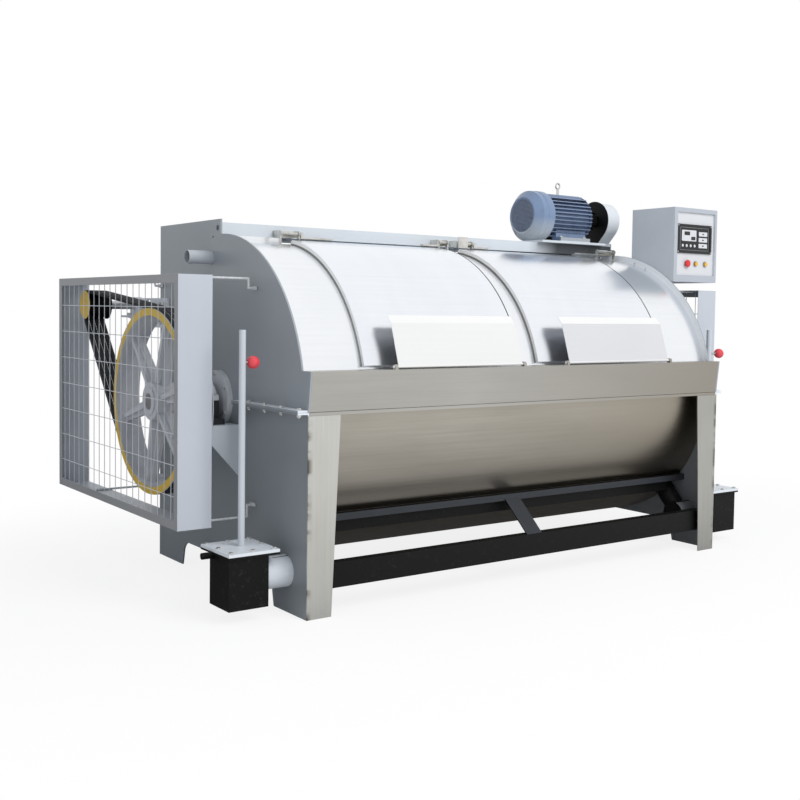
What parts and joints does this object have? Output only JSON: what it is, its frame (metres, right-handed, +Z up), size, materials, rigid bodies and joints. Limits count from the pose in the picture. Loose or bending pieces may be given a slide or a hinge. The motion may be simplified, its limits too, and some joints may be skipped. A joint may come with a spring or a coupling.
{
  "type": "industrial washing machine",
  "caption": "Horizontal belt-driven industrial washing machine: perforated drum in a steel tub, sliding doors, flaps, guarded end pulleys, top motor and control box.",
  "frame": {"origin": "centre of the overall footprint, on the floor", "axes": "+X along the drum towards the control box, -Y to the operator's side, +Z up"},
  "size_m": [3.224, 1.733, 1.9365],
  "materials": {
    "plate_paint": "grey machine enamel",
    "guard_paint": "blue-grey sheet enamel",
    "leg_steel": "ground stainless sheet",
    "tub_steel": "rolled stainless sheet",
    "door_steel": "brushed stainless sheet",
    "latch_chrome": "polished stainless",
    "beam_paint": "grey enamel",
    "black_paint": "black enamel",
    "cast_grey": "painted casting",
    "pulley_paint": "grey paint with a yellow rim face",
    "fastener_zinc": "zinc plated",
    "wire_paint": "white dipped wire",
    "shaft_steel": "turned steel",
    "drum_steel": "perforated stainless sheet",
    "pipe_paint": "grey enamel",
    "handle_steel": "steel rod with a red ball",
    "motor_paint": "blue-grey motor enamel",
    "cover_paint": "white enamel",
    "belt_rubber": "black rubber",
    "box_paint": "textured grey enamel",
    "panel_paint": "smooth pale enamel",
    "instrument_plastic": "black moulded",
    "bezel_metal": "plated",
    "stop_red": "red moulded",
    "button_yellow": "yellow moulded"
  },
  "bodies": {
    "frame": {"end_plate_upper_left": "plate_paint", "end_plate_upper_right": "plate_paint", "end_plate_lower_left": "plate_paint", "end_plate_lower_right": "plate_paint", "front_legs": "leg_steel", "tub_lower": "tub_steel", "tub_upper": "tub_steel", "front_panel": "leg_steel", "latch_brackets": "latch_chrome", "top_beam": "beam_paint", "bottom_beam": "black_paint", "tub_support": "black_paint", "bearing_shelves": "plate_paint", "bearing_housings": "cast_grey", "bearing_caps": "cast_grey", "shaft_seals": "cast_grey", "bolts_and_nuts": "fastener_zinc", "screws": "fastener_zinc", "countershaft_brackets": "plate_paint", "countershaft_bearings": "cast_grey", "motor_base_plate": "beam_paint", "motor_body": "motor_paint", "motor_fan_cover": "motor_paint", "belts": "belt_rubber", "belt_cover": "cover_paint", "belt_cover_back": "black_paint", "guard_frames": "guard_paint", "guard_meshes": "wire_paint", "guard_rods": "fastener_zinc", "inlet_pipe": "pipe_paint", "drain_pipes": "pipe_paint", "drain_boxes": "black_paint", "drain_lids": "pipe_paint", "control_box": "box_paint", "control_panel": "panel_paint", "instrument": "instrument_plastic", "button_bezels": "bezel_metal"},
    "drum": {"drum_shell": "drum_steel", "drum_ends": "drum_steel", "drum_shafts": "shaft_steel", "big_pulleys": "pulley_paint"},
    "drum_door_left": {"drum_door_left": "drum_steel"},
    "drum_door_right": {"drum_door_right": "drum_steel"},
    "countershaft": {"countershaft": "shaft_steel", "countershaft_pulleys": "pulley_paint"},
    "motor_rotor": {"motor_rotor": "shaft_steel", "motor_pulley": "pulley_paint"},
    "door_left": {"door_left": "door_steel"},
    "door_right": {"door_right": "door_steel"},
    "flap_left": {"flap_left": "door_steel"},
    "flap_right": {"flap_right": "door_steel"},
    "latch_1": {"latch_lever_1": "latch_chrome"},
    "latch_2": {"latch_lever_2": "latch_chrome"},
    "latch_3": {"latch_lever_3": "latch_chrome"},
    "latch_4": {"latch_lever_4": "latch_chrome"},
    "drain_lift_left": {"drain_handle_left": "handle_steel"},
    "drain_lift_right": {"drain_handle_right": "handle_steel"},
    "stop_button": {"stop_button": "stop_red"},
    "start_button": {"start_button": "button_yellow"},
    "jog_button": {"jog_button": "button_yellow"}
  },
  "joints": [
    {"name": "drum_spin", "type": "hinge", "parent": "frame", "child": "drum", "pos_m": [0, -0.0945, 0.812], "axis": [1, 0, 0], "continuous": true},
    {"name": "countershaft_spin", "type": "hinge", "parent": "frame", "child": "countershaft", "pos_m": [0, 0.6685, 1.217], "axis": [1, 0, 0], "continuous": true},
    {"name": "motor_spin", "type": "hinge", "parent": "frame", "child": "motor_rotor", "pos_m": [0, 0.0585, 1.737], "axis": [1, 0, 0], "continuous": true},
    {"name": "drum_door_left_slide", "type": "hinge", "parent": "drum", "child": "drum_door_left", "pos_m": [0, -0.0945, 0.812], "axis": [-1, 0, 0], "range_deg": [0, 47]},
    {"name": "drum_door_right_slide", "type": "hinge", "parent": "drum", "child": "drum_door_right", "pos_m": [0, -0.0945, 0.812], "axis": [-1, 0, 0], "range_deg": [0, 47]},
    {"name": "door_left_slide", "type": "hinge", "parent": "frame", "child": "door_left", "pos_m": [0, -0.0945, 0.812], "axis": [-1, 0, 0], "range_deg": [0, 66]},
    {"name": "door_right_slide", "type": "hinge", "parent": "frame", "child": "door_right", "pos_m": [0, -0.0945, 0.812], "axis": [-1, 0, 0], "range_deg": [0, 66]},
    {"name": "flap_left_hinge", "type": "hinge", "parent": "frame", "child": "flap_left", "pos_m": [0, -0.8525, 0.9815], "axis": [1, 0, 0], "range_deg": [0, 110]},
    {"name": "flap_right_hinge", "type": "hinge", "parent": "frame", "child": "flap_right", "pos_m": [0, -0.8525, 0.9815], "axis": [1, 0, 0], "range_deg": [0, 110]},
    {"name": "latch_1_turn", "type": "hinge", "parent": "frame", "child": "latch_1", "pos_m": [0, -0.1565, 1.548], "axis": [-1, 0, 0], "range_deg": [0, 60]},
    {"name": "latch_2_turn", "type": "hinge", "parent": "frame", "child": "latch_2", "pos_m": [0, -0.1565, 1.548], "axis": [-1, 0, 0], "range_deg": [0, 60]},
    {"name": "latch_3_turn", "type": "hinge", "parent": "frame", "child": "latch_3", "pos_m": [0, -0.1565, 1.548], "axis": [-1, 0, 0], "range_deg": [0, 60]},
    {"name": "latch_4_turn", "type": "hinge", "parent": "frame", "child": "latch_4", "pos_m": [0, -0.1565, 1.548], "axis": [-1, 0, 0], "range_deg": [0, 60]},
    {"name": "drain_left_lift", "type": "slide", "parent": "frame", "child": "drain_lift_left", "axis": [0, 0, 1], "range_m": [0, 0.11]},
    {"name": "drain_right_lift", "type": "slide", "parent": "frame", "child": "drain_lift_right", "axis": [0, 0, 1], "range_m": [0, 0.11]},
    {"name": "stop_press", "type": "slide", "parent": "frame", "child": "stop_button", "axis": [0, 1, 0], "range_m": [0, 0.005], "stiffness_N_per_m": 600},
    {"name": "start_press", "type": "slide", "parent": "frame", "child": "start_button", "axis": [0, 1, 0], "range_m": [0, 0.005], "stiffness_N_per_m": 400},
    {"name": "jog_press", "type": "slide", "parent": "frame", "child": "jog_button", "axis": [0, 1, 0], "range_m": [0, 0.005], "stiffness_N_per_m": 400}
  ],
  "couplings": [
    {"joint": "countershaft_spin", "follows": "drum_spin", "ratio": 5.7941},
    {"joint": "motor_spin", "follows": "drum_spin", "ratio": 19.121}
  ]
}
